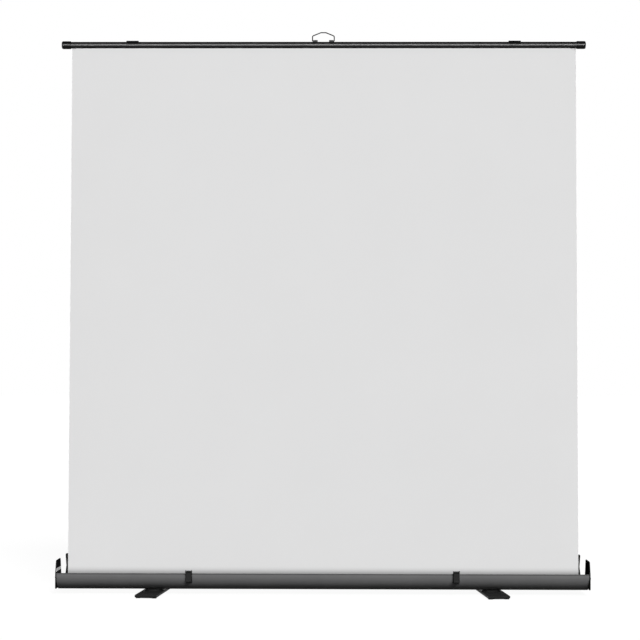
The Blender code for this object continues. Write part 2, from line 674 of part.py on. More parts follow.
# Top rail
def make_rail(riser):
    slot_outer = math.degrees(math.asin(RAIL_SLOT / 2 / RAIL_RADIUS))
    slot_inner = math.degrees(math.asin(RAIL_SLOT / 2 / RAIL_BORE))
    axle = (RAIL_Y, RAIL_HEIGHT)
    outline = arc(axle, RAIL_RADIUS, -90.0 + slot_outer, 270.0 - slot_outer, 30)
    outline += arc(axle, RAIL_BORE, 270.0 - slot_inner, -90.0 + slot_inner, 24)
    half = RAIL_LENGTH / 2
    pieces = [prism("top_rail", outline, "X", -half, half, "black_anodised")]
    plug_radius = RAIL_BORE - GAP
    for side, word in SIDES:
        start = half + GAP
        end = start + RAIL_CAP_LENGTH
        dome = arc((end - RAIL_CAP_ROUND, RAIL_CAP_RADIUS - RAIL_CAP_ROUND), RAIL_CAP_ROUND, 90.0, 0.0, 4)
        profile = [(half - RAIL_PLUG_DEPTH, 0.0), (half - RAIL_PLUG_DEPTH, plug_radius), (start, plug_radius),
                   (start, RAIL_CAP_RADIUS - RAIL_CAP_EDGE), (start + RAIL_CAP_EDGE, RAIL_CAP_RADIUS),
                   *dome, (end, 0.0)]
        profile = [(side * t, radius) for t, radius in profile]
        pieces.append(turned(f"rail_end_cap_{word}", profile, "X", axle, "black_plastic", 28))
    bead_z = RAIL_HEIGHT - RAIL_BORE + BEAD_RADIUS + GAP
    bead_half = half - RAIL_PLUG_DEPTH - GAP
    pieces.append(turned("hem_bead", rod(-bead_half, bead_half, BEAD_RADIUS), "X", (RAIL_Y, bead_z),
                         "black_plastic", 12))
    for piece in pieces:
        hang(piece, riser)


def make_rail_clip(side, word):
    inner = RAIL_RADIUS + GAP
    outer = inner + CLIP_WALL
    axle = (RAIL_Y, RAIL_HEIGHT)
    start = side * ARM_PIVOT_X - CLIP_WIDTH / 2
    end = start + CLIP_WIDTH
    band = arc(axle, outer, CLIP_REAR_DEG, CLIP_FRONT_DEG, 16)
    band += arc(axle, inner, CLIP_FRONT_DEG, CLIP_REAR_DEG, 16)
    clip = prism(f"rail_clip_{word}", band, "X", start, end, "black_plastic", CLIP_EDGE)
    low = RAIL_HEIGHT + NECK_LOW
    high = RAIL_HEIGHT + NECK_HIGH
    neck = rounded([(RAIL_Y + NECK_FRONT, low, 0.0), (LUG_REAR, low, 0.0), (LUG_REAR, high, NECK_ROUND),
                    (RAIL_Y + NECK_FRONT, high, 0.0)])
    combine(clip, prism("neck", neck, "X", start + CLIP_INSET, end - CLIP_INSET, "black_plastic"), "UNION")
    left = start + CLIP_INSET
    right = end - CLIP_INSET
    bottom = RAIL_HEIGHT - LUG_DROP
    lug = rounded([(left, bottom, LUG_ROUND), (right, bottom, LUG_ROUND),
                   (right, low + LUG_LAP, 0.0), (left, low + LUG_LAP, 0.0)])
    combine(clip, prism("lug", lug, "Y", LUG_FRONT, LUG_REAR - LUG_SHY, "black_plastic"), "UNION")
    drill(clip, "Y", (side * ARM_PIVOT_X, RAIL_HEIGHT), PIN_RADIUS + RUN,
          LUG_FRONT - CUT_OVER, LUG_REAR + CUT_OVER)
    return clip


def make_handle(riser):
    lift = RAIL_HEIGHT + HANDLE_PIVOT_RISE
    seat = RAIL_RADIUS + GAP
    seat_deg = math.degrees(math.acos(HANDLE_LUG_HALF_DEPTH / seat))
    for side, word in SIDES:
        saddle = arc((RAIL_Y, RAIL_HEIGHT), seat, 180.0 - seat_deg, seat_deg, 6)
        top = RAIL_HEIGHT + HANDLE_LUG_TOP
        cap = rounded([(RAIL_Y + HANDLE_LUG_HALF_DEPTH, top, HANDLE_LUG_ROUND),
                       (RAIL_Y - HANDLE_LUG_HALF_DEPTH, top, HANDLE_LUG_ROUND),
                       (*saddle[0], 0.0), (*saddle[-1], 0.0)])
        outline = saddle + cap[:-2]
        lug = prism(f"handle_lug_{word}", outline, "X", side * HANDLE_LUG_INNER, side * HANDLE_LUG_OUTER,
                    "black_plastic")
        drill(lug, "X", (RAIL_Y, lift), HANDLE_WIRE + RUN, side * (HANDLE_LUG_INNER - CUT_OVER),
              side * (HANDLE_LUG_OUTER + CUT_OVER), 16)
        hang(lug, riser)
    inner = HANDLE_LUG_INNER + HANDLE_TIP_INSET
    shoulder = RAIL_HEIGHT + HANDLE_SHOULDER
    top = RAIL_HEIGHT + HANDLE_TOP
    corners = [(inner, lift, 0.0), (HANDLE_HALF_WIDTH, lift, HANDLE_FOOT_BEND),
               (HANDLE_HALF_WIDTH, shoulder, HANDLE_BEND), (HANDLE_FLAT, top, HANDLE_BEND)]
    corners += [(-x, z, bend) for x, z, bend in reversed(corners)]
    wire = [(x, RAIL_Y, z) for x, z in rounded(corners, 4)]
    bail = tube_curve("bail_handle", wire, HANDLE_WIRE, "dark_steel", 2)
    swing = pivot("handle_axis", (0.0, RAIL_Y, lift))
    hang(bail, swing)
    hang(swing, riser)


# Folding arms
def make_arm(name, low, high, y):
    """A flat bar between two pivots (x, z), with round ends and a hole at each pivot."""
    heading = math.degrees(math.atan2(high[1] - low[1], high[0] - low[0]))
    radius = ARM_WIDTH / 2
    outline = arc(low, radius, heading + 90.0, heading + 270.0, 10)
    outline += arc(high, radius, heading - 90.0, heading + 90.0, 10)
    front = y - ARM_THICKNESS / 2
    rear = y + ARM_THICKNESS / 2
    bar = prism(name, outline, "Y", front, rear, "arm_aluminium", ARM_EDGE)
    for place in (low, high):
        drill(bar, "Y", place, PIN_RADIUS + RUN, front - CUT_OVER, rear + CUT_OVER)
    return bar


def make_arm_bracket(side, word):
    """A plate that carries the base pivot, with a foot that follows the box's inner wall."""
    bore = HOUSING_BORE - GAP
    front = ARM_BRACKET_Y
    rear = front + ARM_BRACKET_THICKNESS
    top = ARM_PIVOT_Z + ARM_BRACKET_MARGIN
    front_deg = 270.0 + math.degrees(math.asin(front / bore))
    end_deg = 270.0 + math.degrees(math.asin(ARM_BRACKET_FOOT_Y / bore))
    inner = bore - ARM_BRACKET_THICKNESS
    rear_deg = 270.0 + math.degrees(math.asin(rear / inner))
    outline = fine_arc(AXIS, bore, front_deg, end_deg) + fine_arc(AXIS, inner, end_deg, rear_deg)
    outline += [(rear, top), (front, top)]
    start = side * ARM_PIVOT_X - ARM_BRACKET_WIDTH / 2
    end = start + ARM_BRACKET_WIDTH
    bracket = prism(f"arm_bracket_{word}", outline, "X", start, end, "dark_steel")
    drill(bracket, "Y", (side * ARM_PIVOT_X, ARM_PIVOT_Z), PIN_RADIUS + GAP,
          front - CUT_OVER, rear + CUT_OVER)


def make_arms():
    base = {-1: (-ARM_PIVOT_X, ARM_PIVOT_Z), 1: (ARM_PIVOT_X, ARM_PIVOT_Z)}
    knee = {-1: (-KNEE_X, KNEE_Z), 1: (KNEE_X, KNEE_Z)}
    crown = {-1: (-ARM_PIVOT_X, RAIL_HEIGHT), 1: (ARM_PIVOT_X, RAIL_HEIGHT)}
    lower_y = {-1: LOWER_LEFT_Y, 1: LOWER_RIGHT_Y}
    upper_y = {-1: UPPER_LEFT_Y, 1: UPPER_RIGHT_Y}
    half = ARM_THICKNESS / 2
    bracket_rear = ARM_BRACKET_Y + ARM_BRACKET_THICKNESS + GAP
    knee_pivots = {}
    for side, word in SIDES:
        make_arm_bracket(side, word)
        shoulder = pivot(f"arm_base_axis_{word}", (base[side][0], lower_y[side], base[side][1]))
        lower = make_arm(f"lower_arm_{word}", base[side], knee[side], lower_y[side])
        hang(lower, shoulder)
        elbow = pivot(f"knee_axis_{word}", (knee[side][0], upper_y[side], knee[side][1]))
        hang(elbow, shoulder)
        upper = make_arm(f"upper_arm_{word}", knee[side], crown[side], upper_y[side])
        hang(upper, elbow)
        knee_pivots[side] = elbow
        tip = lower_y[side] - half + GAP
        base_pin = headed(bracket_rear + PIN_HEAD, bracket_rear, PIN_HEAD_RADIUS, tip, PIN_RADIUS)
        turned(f"base_pivot_pin_{word}", base_pin, "Y", base[side], "bright_steel", 20)
        if side < 0:
            head = upper_y[side] - half - GAP
            profile = headed(head - PIN_HEAD, head, PIN_HEAD_RADIUS, lower_y[side] + half - GAP, PIN_RADIUS)
        else:
            head = lower_y[side] + half + GAP
            profile = headed(head + PIN_HEAD, head, PIN_HEAD_RADIUS, upper_y[side] - half + GAP, PIN_RADIUS)
        hang(turned(f"knee_pin_{word}", profile, "Y", knee[side], "bright_steel", 20), shoulder)
        washer = ring(upper_y[side] + half + GAP, lower_y[side] - half - GAP, PIN_RADIUS + RUN, WASHER_RADIUS)
        hang(turned(f"knee_washer_{word}", washer, "Y", knee[side], "black_plastic", 20), elbow)
    spacer = ring(LOWER_LEFT_Y + half + GAP, ARM_BRACKET_Y - GAP, PIN_RADIUS + GAP, SPACER_RADIUS)
    turned("base_pivot_spacer", spacer, "Y", base[-1], "black_plastic", 20)
    return crown, upper_y, knee_pivots[-1]


def make_rail_group(crown, upper_y, left_elbow):
    riser = pivot("rail_axis", (crown[-1][0], upper_y[-1], crown[-1][1]))
    hang(riser, left_elbow)
    make_rail(riser)
    make_handle(riser)
    half = ARM_THICKNESS / 2
    head = LUG_FRONT - GAP
    for side, word in SIDES:
        hang(make_rail_clip(side, word), riser)
        profile = headed(head - PIN_HEAD, head, PIN_HEAD_RADIUS, upper_y[side] + half - GAP, PIN_RADIUS)
        hang(turned(f"top_pivot_pin_{word}", profile, "Y", crown[side], "bright_steel", 20), riser)
    spacer = ring(LUG_REAR + GAP, UPPER_RIGHT_Y - half - GAP, PIN_RADIUS + GAP, SPACER_RADIUS)
    hang(turned("top_pivot_spacer", spacer, "Y", crown[1], "black_plastic", 20), riser)


# Latches
def make_latch(side, word):
    middle = side * LATCH_X
    seat = HOUSING_RADIUS + GAP
    outer = seat + LATCH_PLATE
    top = LATCH_Z + LATCH_EAR_RADIUS
    tab = LATCH_Z + LATCH_TAB_RISE
    outline = [(-seat, tab)] + fine_arc(AXIS, seat, 180.0, LATCH_ARC_DEG)
    outline += fine_arc(AXIS, outer, LATCH_ARC_DEG, 180.0) + [(-outer, tab)]
    half = LATCH_WIDTH / 2
    plate = prism(f"latch_plate_{word}", outline, "X", middle - half, middle + half, "black_paint")
    ear = arc((LATCH_Y, LATCH_Z), LATCH_EAR_RADIUS, 90.0, 270.0, 8)
    ear += [(-seat - LATCH_PLATE / 2, LATCH_Z - LATCH_EAR_RADIUS), (-seat - LATCH_PLATE / 2, top)]
    for hand in (-1, 1):
        cheek_outer = middle + hand * (half - GAP)
        cheek_inner = middle + hand * (half - LATCH_EAR)
        combine(plate, prism("cheek", ear, "X", cheek_inner, cheek_outer, "black_paint"), "UNION")
    drill(plate, "X", (LATCH_Y, LATCH_Z), LATCH_PIN + GAP,
          middle - half - CUT_OVER, middle + half + CUT_OVER, 14)
    make_strap(middle, word)


def make_strap(middle, word):
    half = STRAP_WIDTH / 2
    thick = STRAP_THICKNESS / 2
    axle = (LATCH_Y, LATCH_Z)
    low = LATCH_Z - STRAP_LENGTH
    lift = math.degrees(math.asin(thick / STRAP_KNUCKLE))
    outline = arc(axle, STRAP_KNUCKLE, -90.0 + lift, 270.0 - lift, 16)
    curl_centre = (LATCH_Y + thick - STRAP_CURL, low)
    outline += [(LATCH_Y - thick, low + STRAP_CURL)]
    outline += arc(curl_centre, STRAP_CURL, 120.0, 360.0, 12)
    start = middle - half
    end = middle + half
    strap = prism(f"latch_strap_{word}", outline, "X", start, end, "black_paint", STRAP_EDGE)
    drill(strap, "X", axle, LATCH_PIN + RUN, start - CUT_OVER, end + CUT_OVER, 14)
    hang(strap, pivot(f"latch_axis_{word}", (middle, *axle)))


def make_latches():
    reach = LATCH_WIDTH / 2
    for side, word in SIDES:
        make_latch(side, word)
        middle = side * LATCH_X
        turned(f"latch_pin_{word}", rod(middle - reach, middle + reach, LATCH_PIN), "X", (LATCH_Y, LATCH_Z),
               "dark_steel", 14)


# Feet
def foot_place(side, a, b):
    """From across and along a foot, which toes out, to the box's X and Y."""
    turn = math.radians(-side * FOOT_TOE_OUT_DEG)
    x = side * FOOT_X + a * math.cos(turn) + b * math.sin(turn)
    return x, b * math.cos(turn) - a * math.sin(turn)


def foot_outline(side):
    """Seen from above: a straight bar whose outer front corner is the roundest, and the same turned about."""
    half = side * FOOT_WIDTH / 2
    reach = FOOT_HALF_LENGTH
    corners = [(half, -reach, FOOT_OUTER_ROUND), (half, reach, FOOT_INNER_ROUND),
               (-half, reach, FOOT_OUTER_ROUND), (-half, -reach, FOOT_INNER_ROUND)]
    return [foot_place(side, a, b) for a, b in rounded(corners, 6)]


def make_foot_pad(name, side, end):
    """A rubber bar across the underside of one end of a foot, standing on its own two ends."""
    half = FOOT_WIDTH / 2 - PAD_SIDE_INSET
    inner = half - PAD_REST
    outline = [(-half, 0.0), (-inner, 0.0),
               (PAD_RELIEF - inner, PAD_RELIEF), (inner - PAD_RELIEF, PAD_RELIEF),
               (inner, 0.0), (half, 0.0), (half, PAD_HEIGHT), (-half, PAD_HEIGHT)]
    far = end * (FOOT_HALF_LENGTH - PAD_INSET)
    mesh = bmesh.new()
    add_prism(mesh, outline, "Y", far - end * PAD_LENGTH, far, PAD_EDGE)
    for vertex in mesh.verts:
        vertex.co.x, vertex.co.y = foot_place(side, vertex.co.x, vertex.co.y)
    return new_piece(name, mesh, "rubber")


def make_foot(side, word):
    hub = (side * FOOT_X, 0.0)
    swivel = pivot(f"foot_axis_{word}", (*hub, FOOT_LOW))
    foot = prism(f"foot_{word}", foot_outline(side), "Z", FOOT_LOW, FOOT_TOP, "black_casting", FOOT_EDGE)
    boss = rod(FOOT_TOP - WELD_LAP, SOLE_Z - GAP, FOOT_BOSS_RADIUS)
    combine(foot, turned("boss", boss, "Z", hub, "black_casting", 36), "UNION")
    head_low = FOOT_LOW + BOLT_HEAD_RECESS
    head_top = head_low + BOLT_HEAD
    drill(foot, "Z", hub, BOLT_HEAD_RADIUS + RUN, FOOT_LOW - CUT_OVER, head_top + GAP, 24)
    drill(foot, "Z", hub, BOLT_RADIUS + RUN, FOOT_LOW - CUT_OVER, SOLE_Z + CUT_OVER, 24)
    hang(foot, swivel)
    for end, spot in ((-1, "front"), (1, "rear")):
        hang(make_foot_pad(f"foot_pad_{word}_{spot}", side, end), swivel)
    nut_low = FLOOR_Z + GAP
    nut_top = nut_low + NUT_HEIGHT
    bolt = headed(head_low, head_top, BOLT_HEAD_RADIUS, nut_top + BOLT_TAIL, BOLT_RADIUS)
    turned(f"foot_bolt_{word}", bolt, "Z", hub, "dark_steel", 20)
    nut = prism(f"foot_nut_{word}", arc(hub, NUT_RADIUS, 0.0, 300.0, 5), "Z", nut_low, nut_top, "dark_steel")
    drill(nut, "Z", hub, BOLT_RADIUS + RUN, nut_low - CUT_OVER, nut_top + CUT_OVER)


def make_feet():
    for side, word in SIDES:
        make_foot(side, word)


def main():
    clear_scene()
    make_housing()
    make_end_plates()
    for side, word in SIDES:
        make_roller_bracket(side, word)
    make_roller()
    make_screen()
    make_rail_group(*make_arms())
    make_latches()
    make_feet()


main()
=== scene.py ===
"""Looks of the pull-up projection screen: its cloth, finishes, light, floor and camera."""
import json
import math
from typing import NamedTuple

import bmesh
import bpy
from mathutils import Matrix, Vector


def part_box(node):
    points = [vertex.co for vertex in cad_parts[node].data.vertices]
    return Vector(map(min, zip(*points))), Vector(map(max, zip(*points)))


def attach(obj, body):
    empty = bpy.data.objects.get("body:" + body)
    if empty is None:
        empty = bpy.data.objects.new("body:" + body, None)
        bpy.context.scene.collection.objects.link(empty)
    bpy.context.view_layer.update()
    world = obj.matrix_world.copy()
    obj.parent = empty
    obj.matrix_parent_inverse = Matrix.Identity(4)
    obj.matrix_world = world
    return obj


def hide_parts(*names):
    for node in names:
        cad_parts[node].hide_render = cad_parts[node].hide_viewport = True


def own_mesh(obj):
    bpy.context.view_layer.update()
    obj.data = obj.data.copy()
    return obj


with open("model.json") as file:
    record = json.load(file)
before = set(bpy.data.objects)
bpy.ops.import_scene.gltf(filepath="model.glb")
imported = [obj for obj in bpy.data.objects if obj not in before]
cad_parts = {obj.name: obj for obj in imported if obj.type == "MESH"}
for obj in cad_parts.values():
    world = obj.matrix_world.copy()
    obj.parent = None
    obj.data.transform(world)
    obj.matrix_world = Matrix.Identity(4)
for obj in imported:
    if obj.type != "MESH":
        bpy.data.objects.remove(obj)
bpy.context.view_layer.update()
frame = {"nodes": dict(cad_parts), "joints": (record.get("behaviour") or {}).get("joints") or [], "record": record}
lip_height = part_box("base_housing")[1].z


class Finish(NamedTuple):
    """Looks of a rigid piece. Lengths are in metres."""
    light: tuple            # colour of the lighter patches
    shade: tuple            # colour of the darker patches
    worn: tuple             # colour of worn edges
    roughness: tuple        # lowest and highest
    grain: tuple            # noise cells in a metre along X, Y and Z
    relief: float           # depth of the grain
    edge: float             # radius to which edges look rounded
    wear: float             # largest share of the worn colour on an edge
    specular: float = 0.5
    metallic: float = 0.0
    tint: float = 1.0       # share of a metal's gloss that is left at grazing angles


def even(value):
    return (value, value, value)


def grey(level, blue=0.0):
    """A grey, with a little more blue where that is given."""
    return (level, level, level + blue)


# Camera: fitted to the edges of the cloth, the rail and the floor box in the photograph
CAMERA_PLACE = (0.0516, -6.3, 0.856)
CAMERA_LENS_MM = 89.466
CAMERA_SENSOR_MM = 36.0
CAMERA_PITCH_DEG = 2.0194
CAMERA_YAW_DEG = -0.5772
CAMERA_ROLL_DEG = 0.0997

# Light: turn goes to the right from the front, lift goes up from the floor, and angles are in degrees
SUNS = {
    "key": dict(turn=20.0, lift=41.0, strength=3.56, softness=25.0, in_gloss=False),
    "back": dict(turn=160.0, lift=42.0, strength=1.1, softness=60.0, in_gloss=True),
}
STRIP_PLACE = (0.0, -5.0, 2.45)     # long lamp that only gloss sees, for the bright line along the rail
STRIP_SIZE = (8.0, 0.5)
STRIP_POWER = 1750.0
AMBIENT = 0.09              # light from all round
BACKGROUND = 1.0            # white that the camera and gloss see
FLOOR_HALF = 60.0
FLOOR_PALE = 0.10           # what the floor sends back to the object
FLOOR_GLOW = 0.92           # what makes it white to the camera, less than all of it so that shadows show
CAMERA_REACH = 4 * FLOOR_HALF       # past the floor's far corners
WHITE = (1.0, 1.0, 1.0, 1.0)

# Shape of the cloth
CLOTH_COLUMNS = 64
CLOTH_ROWS = 68
CLOTH_TAPER = 0.0025        # share by which the cloth is narrower at the rail than at the box
CLOTH_DRIFT = 0.0011        # how far the cloth runs to the right of the middle
CLOTH_CURL = 0.0025         # how far its side edges curl back
CLOTH_CURL_POWER = 14
CLOTH_WAVE = 0.0005         # height of its slow waves
WAVE_ACROSS = 5.0           # radians of wave from the middle to a side edge
WAVE_SLANT = 2.2            # radians by which that wave shifts from bottom to top
WAVE_UP = 7.0               # radians of wave from bottom to top
ROLL_TURNS = 2
ROLL_POINTS = 72            # points in a turn
ROLL_FILL = 0.98            # share of the room round the tube that the turns take up
ROLL_FACES = (((0, 1), 0), ((2, 3), 1), ((0, 2), 0), ((1, 3), 0))   # corners of a row, and the material there
SHARP_EDGE_DEG = 40.0

# Finish of the cloth
CLOTH_LIGHT = grey(0.795, 0.002)
CLOTH_SHADE = grey(0.775, 0.002)
CLOTH_ROUGHNESS = (0.82, 0.92)
BACKING_LIGHT = grey(0.030, 0.002)
BACKING_SHADE = grey(0.022, 0.001)
BACKING_ROUGHNESS = (0.70, 0.85)
CLOTH_SPECULAR = 0.18
SHEEN = 0.05
SHEEN_ROUGHNESS = 0.6
THREAD_PITCH = 0.0007
TEXTURE_PERIOD = 2 * math.pi / 20       # period of the Wave texture at scale 1
CLOTH_CLOUD_GRAIN = 3.0
CLOTH_CLOUD_DETAIL = 4.0
GRIT_GRAIN = 1400.0
GRIT_DETAIL = 2.0
GRIT_SHARE = 0.6            # share of grit in the cloth's tone, the rest being clouds
CLOTH_TONE_RANGE = (0.35, 0.65)
CLOTH_BUMP = 0.25
CLOTH_RELIEF = 0.00008
FOOT_SHADE_COLOUR = grey(0.05)    # painted shade: the cloth fades towards this grey where it leaves the box
FOOT_SHADE_SHARE = 0.53
FOOT_SHADE_REACH = 0.0258         # how far above the lip the painted shade begins
FOOT_SHADE_POWER = 1.7

# What all rigid finishes share: ranges of noise, and of the cosine between the flat and the rounded normal
GRAIN_DETAIL = 5.0
CLOUD_GRAIN = 9.0
CLOUD_DETAIL = 3.0
TONE_RANGE = (0.12, 0.40)   # grain times cloud, from the shade colour to the light one
ROUGH_RANGE = (0.30, 0.70)  # grain, from the lowest roughness to the highest
RIM_RANGE = (0.985, 0.80)   # cosine, from no wear to the most
PATCH_RANGE = (0.40, 0.62)  # cloud, from the least worn patches of an edge to the most worn
PATCH_WEAR = (0.15, 1.0)
BEVEL_SAMPLES = 4
GRAIN_BUMP = 0.5

# Finishes of the rigid pieces
LOOKS = {
    "box_anodised": Finish(
        light=grey(0.198, 0.002), shade=grey(0.172, 0.002), worn=grey(0.25), roughness=(0.55, 0.68),
        grain=(6, 900, 900), relief=0.00003, edge=0.0006, wear=0.25, specular=0.0),
    "rail_anodised": Finish(
        light=grey(0.0168), shade=grey(0.0154), worn=grey(0.06), roughness=(0.295, 0.305),
        grain=(6, 900, 900), relief=0.00001, edge=0.0005, wear=0.15, metallic=1.0, tint=0.05),
    "cap_black": Finish(
        light=grey(0.0095), shade=grey(0.0075), worn=grey(0.05), roughness=(0.295, 0.305),
        grain=even(1600), relief=0.00002, edge=0.0005, wear=0.15, metallic=1.0, tint=0.05),
    "clip_black": Finish(
        light=grey(0.0048), shade=grey(0.0036), worn=grey(0.05), roughness=(0.36, 0.44),
        grain=even(1600), relief=0.00004, edge=0.0005, wear=0.3, metallic=1.0, tint=0.05),
    "dull_black": Finish(
        light=grey(0.014), shade=grey(0.010), worn=grey(0.05), roughness=(0.70, 0.85),
        grain=even(1600), relief=0.00004, edge=0.0005, wear=0.3, specular=0.0),
    "black_paint": Finish(
        light=grey(0.014), shade=grey(0.009), worn=grey(0.12), roughness=(0.42, 0.54),
        grain=even(700), relief=0.00005, edge=0.0005, wear=0.45, specular=0.06),
    "black_casting": Finish(
        light=grey(0.016), shade=grey(0.010), worn=grey(0.12), roughness=(0.44, 0.56),
        grain=even(1100), relief=0.00012, edge=0.0008, wear=0.45, specular=0.035),
    "black_plastic": Finish(
        light=grey(0.013, 0.001), shade=grey(0.008, 0.001), worn=grey(0.05), roughness=(0.48, 0.62),
        grain=even(1600), relief=0.00006, edge=0.0005, wear=0.3, specular=0.06),
    "dark_steel": Finish(
        light=grey(0.060, 0.003), shade=grey(0.040, 0.003), worn=grey(0.30), roughness=(0.34, 0.48),
        grain=even(500), relief=0.00003, edge=0.0004, wear=0.4, specular=0.4, metallic=0.9),
    "bright_steel": Finish(
        light=grey(0.58, 0.01), shade=grey(0.46, 0.01), worn=grey(0.72), roughness=(0.24, 0.38),
        grain=even(600), relief=0.00002, edge=0.0004, wear=0.3, metallic=1.0),
    "arm_aluminium": Finish(
        light=grey(0.155, 0.005), shade=grey(0.125, 0.005), worn=grey(0.42), roughness=(0.34, 0.48),
        grain=(40, 900, 40), relief=0.00002, edge=0.0006, wear=0.35, metallic=0.85),
    "rubber": Finish(
        light=grey(0.014), shade=grey(0.009), worn=grey(0.04), roughness=(0.78, 0.92),
        grain=even(900), relief=0.00010, edge=0.0006, wear=0.3, specular=0.08),
}
LOOKS["banded_end_plate"] = LOOKS["dull_black"]

# Nodes whose look isn't the one that their material slot names
NODE_LOOKS = {
    "base_housing": "box_anodised", "top_rail": "rail_anodised", "bail_handle": "dull_black",
    "end_plate_left": "banded_end_plate", "end_plate_right": "dull_black",
}
for side_name in ("left", "right"):
    NODE_LOOKS[f"roller_bracket_{side_name}"] = "dull_black"
    NODE_LOOKS[f"rail_end_cap_{side_name}"] = "cap_black"
    NODE_LOOKS[f"rail_clip_{side_name}"] = "clip_black"
SHADOWLESS_NODES = ("top_rail", "rail_clip_left", "rail_clip_right")    # no shade under them, as photographed

# Marks: a pale level band on the inner face of the left end plate, and a dark line of painted shade along the top
# of the box
BAND_HEIGHTS = (0.090, 0.102)
BAND_COLOUR = grey(0.80)
BAND_FACING = 0.5           # least X of the normal on that face
LIP_SHADE_HEIGHT = 0.0035
LIP_SHADE_SOFT = 0.0015          # height over which the painted shade line fades in, below that
LIP_SHADE_SHARE = 0.6
LIP_SHADE_COLOUR = grey(0.05)

# Places of a Mix node's sockets for colours, and the range of a share
MIX_FACTOR, MIX_FIRST, MIX_SECOND, MIX_RESULT = 0, 6, 7, 2
WHOLE = (0.0, 1.0)


# Shader helpers
def place_node(tree, kind, **settings):
    made = tree.nodes.new(kind)
    for name, value in settings.items():
        setattr(made, name, value)
    return made


def new_tree(name):
    """A new material with only its output and one principled shader."""
    material = bpy.data.materials.new(name)
    material.use_nodes = True
    tree = material.node_tree
    return material, tree, tree.nodes["Principled BSDF"]


def math_node(tree, operation, first, second):
    made = place_node(tree, "ShaderNodeMath", operation=operation)
    for socket, value in zip(made.inputs, (first, second)):
        if isinstance(value, float):
            socket.default_value = value
        else:
            tree.links.new(value, socket)
    return made.outputs["Value"]


def map_range(tree, value, source, target):
    made = place_node(tree, "ShaderNodeMapRange")
    tree.links.new(value, made.inputs["Value"])
    for name, number in zip(("From Min", "From Max", "To Min", "To Max"), (*source, *target)):
        made.inputs[name].default_value = number
    return made.outputs["Result"]


def mix_colour(tree, factor, first, second):
    made = place_node(tree, "ShaderNodeMix", data_type="RGBA")
    tree.links.new(factor, made.inputs[MIX_FACTOR])
    for place, colour in ((MIX_FIRST, first), (MIX_SECOND, second)):
        if isinstance(colour, tuple):
            made.inputs[place].default_value = (*colour, 1.0)
        else:
            tree.links.new(colour, made.inputs[place])
    return made.outputs[MIX_RESULT]


def noise(tree, grain, detail):
    coordinates = place_node(tree, "ShaderNodeTexCoord")
    mapping = place_node(tree, "ShaderNodeMapping")
    mapping.inputs["Scale"].default_value = grain
    tree.links.new(coordinates.outputs["Object"], mapping.inputs["Vector"])
    made = place_node(tree, "ShaderNodeTexNoise")
    made.inputs["Scale"].default_value = 1.0
    made.inputs["Detail"].default_value = detail
    tree.links.new(mapping.outputs["Vector"], made.inputs["Vector"])
    return made.outputs["Fac"]


def bump(tree, height, strength, depth):
    made = place_node(tree, "ShaderNodeBump")
    made.inputs["Strength"].default_value = strength
    made.inputs["Distance"].default_value = depth
    tree.links.new(height, made.inputs["Height"])
    return made


def one_axis(tree, kind, output, axis):
    """One axis of a vector that a new node of the given kind puts out."""
    parts = place_node(tree, "ShaderNodeSeparateXYZ")
    tree.links.new(place_node(tree, kind).outputs[output], parts.inputs["Vector"])
    return parts.outputs[axis]


def shown_rays(tree):
    """One for the rays that should see the white background, as Light Path tells them apart."""
    path = place_node(tree, "ShaderNodeLightPath")
    seen = math_node(tree, "MAXIMUM", path.outputs["Is Camera Ray"], path.outputs["Is Glossy Ray"])
    return math_node(tree, "MAXIMUM", seen, path.outputs["Is Transmission Ray"])


# Materials
def edge_wear(tree, rounded, cloud, most):
    """Share of wear: none on flat faces, and in patches on edges, where the rounded normal leans away."""
    match = place_node(tree, "ShaderNodeVectorMath", operation="DOT_PRODUCT")
    tree.links.new(rounded, match.inputs[0])
    tree.links.new(place_node(tree, "ShaderNodeNewGeometry").outputs["Normal"], match.inputs[1])
    rim = map_range(tree, match.outputs["Value"], RIM_RANGE, (0.0, most))
    return math_node(tree, "MULTIPLY", rim, map_range(tree, cloud, PATCH_RANGE, PATCH_WEAR))


def rigid_material(name, look):
    """A grained finish whose edges are a little rounded and worn."""
    material, tree, shader = new_tree(name)
    shader.inputs["Metallic"].default_value = look.metallic
    shader.inputs["Specular IOR Level"].default_value = look.specular
    shader.inputs["Specular Tint"].default_value = (*grey(look.tint), 1.0)
    grain = noise(tree, look.grain, GRAIN_DETAIL)
    cloud = noise(tree, even(CLOUD_GRAIN), CLOUD_DETAIL)
    tone = map_range(tree, math_node(tree, "MULTIPLY", grain, cloud), TONE_RANGE, WHOLE)
    colour = mix_colour(tree, tone, look.shade, look.light)
    soft = place_node(tree, "ShaderNodeBevel", samples=BEVEL_SAMPLES)
    soft.inputs["Radius"].default_value = look.edge
    wear = edge_wear(tree, soft.outputs["Normal"], cloud, look.wear)
    tree.links.new(mix_colour(tree, wear, colour, look.worn), shader.inputs["Base Color"])
    tree.links.new(map_range(tree, grain, ROUGH_RANGE, look.roughness), shader.inputs["Roughness"])
    relief = bump(tree, grain, GRAIN_BUMP, look.relief)
    tree.links.new(soft.outputs["Normal"], relief.inputs["Normal"])
    tree.links.new(relief.outputs["Normal"], shader.inputs["Normal"])
    return material


def plain_weave(tree):
    """Threads across and up, one where both stand highest."""
    coordinates = place_node(tree, "ShaderNodeTexCoord")
    threads = []
    for direction in ("X", "Z"):
        wave = place_node(tree, "ShaderNodeTexWave", wave_type="BANDS", bands_direction=direction)
        wave.inputs["Scale"].default_value = TEXTURE_PERIOD / THREAD_PITCH
        tree.links.new(coordinates.outputs["Object"], wave.inputs["Vector"])
        threads.append(wave.outputs["Fac"])
    return math_node(tree, "MULTIPLY", *threads)


